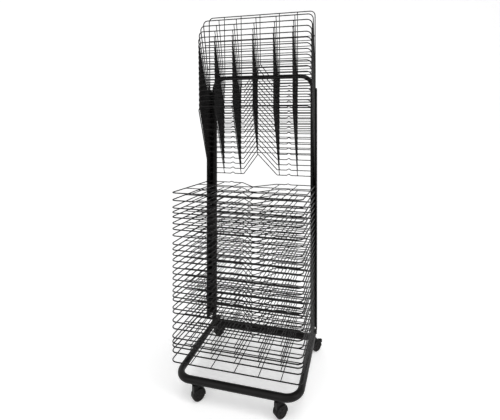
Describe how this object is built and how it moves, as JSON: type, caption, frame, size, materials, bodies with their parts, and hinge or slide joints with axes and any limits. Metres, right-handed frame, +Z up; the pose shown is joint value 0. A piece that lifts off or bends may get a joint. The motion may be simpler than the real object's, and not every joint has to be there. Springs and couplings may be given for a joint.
{
  "type": "art drying rack",
  "caption": "Wheeled drying rack for artwork: a tube base with an upright frame and a tall stack of hinged wire shelves that lower to take sheets and fold up.",
  "frame": {"origin": "on the floor, under the middle of the whole rack", "axes": "+Z up, -Y to the front, where the shelves' free edges are, X along the shelf hinges"},
  "size_m": [0.5057, 0.4088, 1.4512],
  "materials": {
    "shelf_paint": "black satin powder coat on steel wire",
    "frame_paint": "black satin powder coat on steel tube",
    "rail_paint": "black satin powder coat on steel sheet",
    "fittings_black": "black coated steel",
    "hood_plastic": "black moulded nylon",
    "wheel_plastic": "dark moulded nylon",
    "lever_plastic": "black moulded nylon"
  },
  "bodies": {
    "frame": {"base_frame": "frame_paint", "upright_frame": "frame_paint", "hinge_rails": "rail_paint", "frame_fittings": "fittings_black"},
    "shelf_01": {"shelf_01": "shelf_paint"},
    "shelf_02": {"shelf_02": "shelf_paint"},
    "shelf_03": {"shelf_03": "shelf_paint"},
    "shelf_04": {"shelf_04": "shelf_paint"},
    "shelf_05": {"shelf_05": "shelf_paint"},
    "shelf_06": {"shelf_06": "shelf_paint"},
    "shelf_07": {"shelf_07": "shelf_paint"},
    "shelf_08": {"shelf_08": "shelf_paint"},
    "shelf_09": {"shelf_09": "shelf_paint"},
    "shelf_10": {"shelf_10": "shelf_paint"},
    "shelf_11": {"shelf_11": "shelf_paint"},
    "shelf_12": {"shelf_12": "shelf_paint"},
    "shelf_13": {"shelf_13": "shelf_paint"},
    "shelf_14": {"shelf_14": "shelf_paint"},
    "shelf_15": {"shelf_15": "shelf_paint"},
    "shelf_16": {"shelf_16": "shelf_paint"},
    "shelf_17": {"shelf_17": "shelf_paint"},
    "shelf_18": {"shelf_18": "shelf_paint"},
    "shelf_19": {"shelf_19": "shelf_paint"},
    "shelf_20": {"shelf_20": "shelf_paint"},
    "shelf_21": {"shelf_21": "shelf_paint"},
    "shelf_22": {"shelf_22": "shelf_paint"},
    "shelf_23": {"shelf_23": "shelf_paint"},
    "shelf_24": {"shelf_24": "shelf_paint"},
    "shelf_25": {"shelf_25": "shelf_paint"},
    "shelf_26": {"shelf_26": "shelf_paint"},
    "shelf_27": {"shelf_27": "shelf_paint"},
    "shelf_28": {"shelf_28": "shelf_paint"},
    "shelf_29": {"shelf_29": "shelf_paint"},
    "shelf_30": {"shelf_30": "shelf_paint"},
    "shelf_31": {"shelf_31": "shelf_paint"},
    "shelf_32": {"shelf_32": "shelf_paint"},
    "shelf_33": {"shelf_33": "shelf_paint"},
    "shelf_34": {"shelf_34": "shelf_paint"},
    "shelf_35": {"shelf_35": "shelf_paint"},
    "shelf_36": {"shelf_36": "shelf_paint"},
    "shelf_37": {"shelf_37": "shelf_paint"},
    "shelf_38": {"shelf_38": "shelf_paint"},
    "shelf_39": {"shelf_39": "shelf_paint"},
    "shelf_40": {"shelf_40": "shelf_paint"},
    "shelf_41": {"shelf_41": "shelf_paint"},
    "shelf_42": {"shelf_42": "shelf_paint"},
    "shelf_43": {"shelf_43": "shelf_paint"},
    "shelf_44": {"shelf_44": "shelf_paint"},
    "shelf_45": {"shelf_45": "shelf_paint"},
    "shelf_46": {"shelf_46": "shelf_paint"},
    "caster_front_left": {"caster_hood_front_left": "hood_plastic"},
    "wheels_front_left": {"caster_wheels_front_left": "wheel_plastic"},
    "caster_front_right": {"caster_hood_front_right": "hood_plastic"},
    "wheels_front_right": {"caster_wheels_front_right": "wheel_plastic"},
    "caster_rear_left": {"caster_hood_rear_left": "hood_plastic"},
    "wheels_rear_left": {"caster_wheels_rear_left": "wheel_plastic"},
    "brake_rear_left": {"brake_lever_rear_left": "lever_plastic"},
    "caster_rear_right": {"caster_hood_rear_right": "hood_plastic"},
    "wheels_rear_right": {"caster_wheels_rear_right": "wheel_plastic"},
    "brake_rear_right": {"brake_lever_rear_right": "lever_plastic"}
  },
  "joints": [
    {"name": "shelf_01_hinge", "type": "hinge", "parent": "frame", "child": "shelf_01", "pos_m": [-0.0068, 0.1268, 0.1222], "axis": [-1, 0, 0], "range_deg": [0, 67]},
    {"name": "shelf_02_hinge", "type": "hinge", "parent": "frame", "child": "shelf_02", "pos_m": [-0.0068, 0.1268, 0.1444], "axis": [-1, 0, 0], "range_deg": [0, 65.1]},
    {"name": "shelf_03_hinge", "type": "hinge", "parent": "frame", "child": "shelf_03", "pos_m": [-0.0068, 0.1268, 0.1666], "axis": [-1, 0, 0], "range_deg": [0, 65.5]},
    {"name": "shelf_04_hinge", "type": "hinge", "parent": "frame", "child": "shelf_04", "pos_m": [-0.0068, 0.1268, 0.1888], "axis": [-1, 0, 0], "range_deg": [0, 67.2]},
    {"name": "shelf_05_hinge", "type": "hinge", "parent": "frame", "child": "shelf_05", "pos_m": [-0.0068, 0.1268, 0.211], "axis": [-1, 0, 0], "range_deg": [0, 67.6]},
    {"name": "shelf_06_hinge", "type": "hinge", "parent": "frame", "child": "shelf_06", "pos_m": [-0.0068, 0.1268, 0.2332], "axis": [-1, 0, 0], "range_deg": [0, 65.8]},
    {"name": "shelf_07_hinge", "type": "hinge", "parent": "frame", "child": "shelf_07", "pos_m": [-0.0068, 0.1268, 0.2554], "axis": [-1, 0, 0], "range_deg": [0, 65.5]},
    {"name": "shelf_08_hinge", "type": "hinge", "parent": "frame", "child": "shelf_08", "pos_m": [-0.0068, 0.1268, 0.2776], "axis": [-1, 0, 0], "range_deg": [0, 63.9]},
    {"name": "shelf_09_hinge", "type": "hinge", "parent": "frame", "child": "shelf_09", "pos_m": [-0.0068, 0.1268, 0.2998], "axis": [-1, 0, 0], "range_deg": [0, 65.2]},
    {"name": "shelf_10_hinge", "type": "hinge", "parent": "frame", "child": "shelf_10", "pos_m": [-0.0068, 0.1268, 0.322], "axis": [-1, 0, 0], "range_deg": [0, 64.1]},
    {"name": "shelf_11_hinge", "type": "hinge", "parent": "frame", "child": "shelf_11", "pos_m": [-0.0068, 0.1268, 0.3442], "axis": [-1, 0, 0], "range_deg": [0, 65.6]},
    {"name": "shelf_12_hinge", "type": "hinge", "parent": "frame", "child": "shelf_12", "pos_m": [-0.0068, 0.1268, 0.3664], "axis": [-1, 0, 0], "range_deg": [0, 66.3]},
    {"name": "shelf_13_hinge", "type": "hinge", "parent": "frame", "child": "shelf_13", "pos_m": [-0.0068, 0.1268, 0.3886], "axis": [-1, 0, 0], "range_deg": [0, 66.4]},
    {"name": "shelf_14_hinge", "type": "hinge", "parent": "frame", "child": "shelf_14", "pos_m": [-0.0068, 0.1268, 0.4108], "axis": [-1, 0, 0], "range_deg": [0, 66.4]},
    {"name": "shelf_15_hinge", "type": "hinge", "parent": "frame", "child": "shelf_15", "pos_m": [-0.0068, 0.1268, 0.433], "axis": [-1, 0, 0], "range_deg": [0, 66.6]},
    {"name": "shelf_16_hinge", "type": "hinge", "parent": "frame", "child": "shelf_16", "pos_m": [-0.0068, 0.1268, 0.4552], "axis": [-1, 0, 0], "range_deg": [0, 66.7]},
    {"name": "shelf_17_hinge", "type": "hinge", "parent": "frame", "child": "shelf_17", "pos_m": [-0.0068, 0.1268, 0.4774], "axis": [-1, 0, 0], "range_deg": [0, 66.4]},
    {"name": "shelf_18_hinge", "type": "hinge", "parent": "frame", "child": "shelf_18", "pos_m": [-0.0068, 0.1268, 0.4996], "axis": [-1, 0, 0], "range_deg": [0, 66.7]},
    {"name": "shelf_19_hinge", "type": "hinge", "parent": "frame", "child": "shelf_19", "pos_m": [-0.0068, 0.1268, 0.5218], "axis": [-1, 0, 0], "range_deg": [0, 67.3]},
    {"name": "shelf_20_hinge", "type": "hinge", "parent": "frame", "child": "shelf_20", "pos_m": [-0.0068, 0.1268, 0.544], "axis": [-1, 0, 0], "range_deg": [0, 67.7]},
    {"name": "shelf_21_hinge", "type": "hinge", "parent": "frame", "child": "shelf_21", "pos_m": [-0.0068, 0.1268, 0.5662], "axis": [-1, 0, 0], "range_deg": [0, 66.3]},
    {"name": "shelf_22_hinge", "type": "hinge", "parent": "frame", "child": "shelf_22", "pos_m": [-0.0068, 0.1268, 0.5884], "axis": [-1, 0, 0], "range_deg": [0, 66.2]},
    {"name": "shelf_23_hinge", "type": "hinge", "parent": "frame", "child": "shelf_23", "pos_m": [-0.0068, 0.1268, 0.6106], "axis": [-1, 0, 0], "range_deg": [0, 66.5]},
    {"name": "shelf_24_hinge", "type": "hinge", "parent": "frame", "child": "shelf_24", "pos_m": [-0.0068, 0.1268, 0.6328], "axis": [-1, 0, 0], "range_deg": [0, 66.5]},
    {"name": "shelf_25_hinge", "type": "hinge", "parent": "frame", "child": "shelf_25", "pos_m": [-0.0068, 0.1268, 0.655], "axis": [-1, 0, 0], "range_deg": [0, 67.5]},
    {"name": "shelf_26_hinge", "type": "hinge", "parent": "frame", "child": "shelf_26", "pos_m": [-0.0068, 0.1268, 0.6772], "axis": [-1, 0, 0], "range_deg": [0, 68.3]},
    {"name": "shelf_27_hinge", "type": "hinge", "parent": "frame", "child": "shelf_27", "pos_m": [-0.0068, 0.1268, 0.6994], "axis": [-1, 0, 0], "range_deg": [0, 67.5]},
    {"name": "shelf_28_hinge", "type": "hinge", "parent": "frame", "child": "shelf_28", "pos_m": [-0.0068, 0.1268, 0.7216], "axis": [-1, 0, 0], "range_deg": [0, 66.7]},
    {"name": "shelf_29_hinge", "type": "hinge", "parent": "frame", "child": "shelf_29", "pos_m": [-0.0068, 0.1268, 0.7438], "axis": [-1, 0, 0], "range_deg": [-67.1, 0]},
    {"name": "shelf_30_hinge", "type": "hinge", "parent": "frame", "child": "shelf_30", "pos_m": [-0.0068, 0.1268, 0.766], "axis": [-1, 0, 0], "range_deg": [-67.8, 0]},
    {"name": "shelf_31_hinge", "type": "hinge", "parent": "frame", "child": "shelf_31", "pos_m": [-0.0068, 0.1268, 0.7882], "axis": [-1, 0, 0], "range_deg": [-67.7, 0]},
    {"name": "shelf_32_hinge", "type": "hinge", "parent": "frame", "child": "shelf_32", "pos_m": [-0.0068, 0.1268, 0.8104], "axis": [-1, 0, 0], "range_deg": [-67.6, 0]},
    {"name": "shelf_33_hinge", "type": "hinge", "parent": "frame", "child": "shelf_33", "pos_m": [-0.0068, 0.1268, 0.8326], "axis": [-1, 0, 0], "range_deg": [-67.5, 0]},
    {"name": "shelf_34_hinge", "type": "hinge", "parent": "frame", "child": "shelf_34", "pos_m": [-0.0068, 0.1268, 0.8548], "axis": [-1, 0, 0], "range_deg": [-67.4, 0]},
    {"name": "shelf_35_hinge", "type": "hinge", "parent": "frame", "child": "shelf_35", "pos_m": [-0.0068, 0.1268, 0.877], "axis": [-1, 0, 0], "range_deg": [-67.3, 0]},
    {"name": "shelf_36_hinge", "type": "hinge", "parent": "frame", "child": "shelf_36", "pos_m": [-0.0068, 0.1268, 0.8992], "axis": [-1, 0, 0], "range_deg": [-67.2, 0]},
    {"name": "shelf_37_hinge", "type": "hinge", "parent": "frame", "child": "shelf_37", "pos_m": [-0.0068, 0.1268, 0.9214], "axis": [-1, 0, 0], "range_deg": [-67.1, 0]},
    {"name": "shelf_38_hinge", "type": "hinge", "parent": "frame", "child": "shelf_38", "pos_m": [-0.0068, 0.1268, 0.9436], "axis": [-1, 0, 0], "range_deg": [-67, 0]},
    {"name": "shelf_39_hinge", "type": "hinge", "parent": "frame", "child": "shelf_39", "pos_m": [-0.0068, 0.1268, 0.9658], "axis": [-1, 0, 0], "range_deg": [-66.9, 0]},
    {"name": "shelf_40_hinge", "type": "hinge", "parent": "frame", "child": "shelf_40", "pos_m": [-0.0068, 0.1268, 0.988], "axis": [-1, 0, 0], "range_deg": [-66.8, 0]},
    {"name": "shelf_41_hinge", "type": "hinge", "parent": "frame", "child": "shelf_41", "pos_m": [-0.0068, 0.1268, 1.0102], "axis": [-1, 0, 0], "range_deg": [-66.7, 0]},
    {"name": "shelf_42_hinge", "type": "hinge", "parent": "frame", "child": "shelf_42", "pos_m": [-0.0068, 0.1268, 1.0324], "axis": [-1, 0, 0], "range_deg": [-66.6, 0]},
    {"name": "shelf_43_hinge", "type": "hinge", "parent": "frame", "child": "shelf_43", "pos_m": [-0.0068, 0.1268, 1.0546], "axis": [-1, 0, 0], "range_deg": [-67.7, 0]},
    {"name": "shelf_44_hinge", "type": "hinge", "parent": "frame", "child": "shelf_44", "pos_m": [-0.0068, 0.1268, 1.0768], "axis": [-1, 0, 0], "range_deg": [-70.5, 0]},
    {"name": "shelf_45_hinge", "type": "hinge", "parent": "frame", "child": "shelf_45", "pos_m": [-0.0068, 0.1268, 1.099], "axis": [-1, 0, 0], "range_deg": [-75.5, 0]},
    {"name": "shelf_46_hinge", "type": "hinge", "parent": "frame", "child": "shelf_46", "pos_m": [-0.0068, 0.1268, 1.1212], "axis": [-1, 0, 0], "range_deg": [-86.1, 0]},
    {"name": "caster_front_left_swivel", "type": "hinge", "parent": "frame", "child": "caster_front_left", "pos_m": [-0.1568, -0.1898, 0.054], "axis": [0, 0, 1], "continuous": true},
    {"name": "wheels_front_left_roll", "type": "hinge", "parent": "caster_front_left", "child": "wheels_front_left", "pos_m": [-0.1478, -0.17908, 0.022], "axis": [-0.766, 0.6428, 0], "continuous": true},
    {"name": "caster_front_right_swivel", "type": "hinge", "parent": "frame", "child": "caster_front_right", "pos_m": [0.1432, -0.1898, 0.054], "axis": [0, 0, 1], "continuous": true},
    {"name": "wheels_front_right_roll", "type": "hinge", "parent": "caster_front_right", "child": "wheels_front_right", "pos_m": [0.15257, -0.1794, 0.022], "axis": [-0.7431, 0.6691, 0], "continuous": true},
    {"name": "caster_rear_left_swivel", "type": "hinge", "parent": "frame", "child": "caster_rear_left", "pos_m": [-0.2307, 0.1658, 0.054], "axis": [0, 0, 1], "continuous": true},
    {"name": "wheels_rear_left_roll", "type": "hinge", "parent": "caster_rear_left", "child": "wheels_rear_left", "pos_m": [-0.22151, 0.17637, 0.022], "axis": [-0.7547, 0.6561, 0], "continuous": true},
    {"name": "brake_rear_left_press", "type": "hinge", "parent": "caster_rear_left", "child": "brake_rear_left", "pos_m": [-0.20479, 0.19561, 0.0335], "axis": [-0.7547, 0.6561, 0], "range_deg": [0, 10]},
    {"name": "caster_rear_right_swivel", "type": "hinge", "parent": "frame", "child": "caster_rear_right", "pos_m": [0.2171, 0.1658, 0.054], "axis": [0, 0, 1], "continuous": true},
    {"name": "wheels_rear_right_roll", "type": "hinge", "parent": "caster_rear_right", "child": "wheels_rear_right", "pos_m": [0.22647, 0.1762, 0.022], "axis": [-0.7431, 0.6691, 0], "continuous": true},
    {"name": "brake_rear_right_press", "type": "hinge", "parent": "caster_rear_right", "child": "brake_rear_right", "pos_m": [0.24353, 0.19515, 0.0335], "axis": [-0.7431, 0.6691, 0], "range_deg": [0, 10]}
  ],
  "couplings": [
    {"joint": "shelf_01_hinge", "follows": "shelf_28_hinge", "ratio": 1.0045},
    {"joint": "shelf_02_hinge", "follows": "shelf_28_hinge", "ratio": 0.97601},
    {"joint": "shelf_03_hinge", "follows": "shelf_28_hinge", "ratio": 0.98201},
    {"joint": "shelf_04_hinge", "follows": "shelf_28_hinge", "ratio": 1.0075},
    {"joint": "shelf_05_hinge", "follows": "shelf_28_hinge", "ratio": 1.0135},
    {"joint": "shelf_06_hinge", "follows": "shelf_28_hinge", "ratio": 0.98651},
    {"joint": "shelf_07_hinge", "follows": "shelf_28_hinge", "ratio": 0.98201},
    {"joint": "shelf_08_hinge", "follows": "shelf_28_hinge", "ratio": 0.95802},
    {"joint": "shelf_09_hinge", "follows": "shelf_28_hinge", "ratio": 0.97751},
    {"joint": "shelf_10_hinge", "follows": "shelf_28_hinge", "ratio": 0.96102},
    {"joint": "shelf_11_hinge", "follows": "shelf_28_hinge", "ratio": 0.98351},
    {"joint": "shelf_12_hinge", "follows": "shelf_28_hinge", "ratio": 0.994},
    {"joint": "shelf_13_hinge", "follows": "shelf_28_hinge", "ratio": 0.9955},
    {"joint": "shelf_14_hinge", "follows": "shelf_28_hinge", "ratio": 0.9955},
    {"joint": "shelf_15_hinge", "follows": "shelf_28_hinge", "ratio": 0.9985},
    {"joint": "shelf_16_hinge", "follows": "shelf_28_hinge", "ratio": 1},
    {"joint": "shelf_17_hinge", "follows": "shelf_28_hinge", "ratio": 0.9955},
    {"joint": "shelf_18_hinge", "follows": "shelf_28_hinge", "ratio": 1},
    {"joint": "shelf_19_hinge", "follows": "shelf_28_hinge", "ratio": 1.009},
    {"joint": "shelf_20_hinge", "follows": "shelf_28_hinge", "ratio": 1.015},
    {"joint": "shelf_21_hinge", "follows": "shelf_28_hinge", "ratio": 0.994},
    {"joint": "shelf_22_hinge", "follows": "shelf_28_hinge", "ratio": 0.9925},
    {"joint": "shelf_23_hinge", "follows": "shelf_28_hinge", "ratio": 0.997},
    {"joint": "shelf_24_hinge", "follows": "shelf_28_hinge", "ratio": 0.997},
    {"joint": "shelf_25_hinge", "follows": "shelf_28_hinge", "ratio": 1.012},
    {"joint": "shelf_26_hinge", "follows": "shelf_28_hinge", "ratio": 1.024},
    {"joint": "shelf_27_hinge", "follows": "shelf_28_hinge", "ratio": 1.012},
    {"joint": "shelf_30_hinge", "follows": "shelf_29_hinge", "ratio": 1.0104},
    {"joint": "shelf_31_hinge", "follows": "shelf_29_hinge", "ratio": 1.0089},
    {"joint": "shelf_32_hinge", "follows": "shelf_29_hinge", "ratio": 1.0075},
    {"joint": "shelf_33_hinge", "follows": "shelf_29_hinge", "ratio": 1.006},
    {"joint": "shelf_34_hinge", "follows": "shelf_29_hinge", "ratio": 1.0045},
    {"joint": "shelf_35_hinge", "follows": "shelf_29_hinge", "ratio": 1.003},
    {"joint": "shelf_36_hinge", "follows": "shelf_29_hinge", "ratio": 1.0015},
    {"joint": "shelf_37_hinge", "follows": "shelf_29_hinge", "ratio": 1},
    {"joint": "shelf_38_hinge", "follows": "shelf_29_hinge", "ratio": 0.99851},
    {"joint": "shelf_39_hinge", "follows": "shelf_29_hinge", "ratio": 0.99702},
    {"joint": "shelf_40_hinge", "follows": "shelf_29_hinge", "ratio": 0.99553},
    {"joint": "shelf_41_hinge", "follows": "shelf_29_hinge", "ratio": 0.99404},
    {"joint": "shelf_42_hinge", "follows": "shelf_29_hinge", "ratio": 0.99255},
    {"joint": "shelf_43_hinge", "follows": "shelf_29_hinge", "ratio": 1.0089},
    {"joint": "shelf_44_hinge", "follows": "shelf_29_hinge", "ratio": 1.0507},
    {"joint": "shelf_45_hinge", "follows": "shelf_29_hinge", "ratio": 1.1252},
    {"joint": "shelf_46_hinge", "follows": "shelf_29_hinge", "ratio": 1.2832}
  ]
}
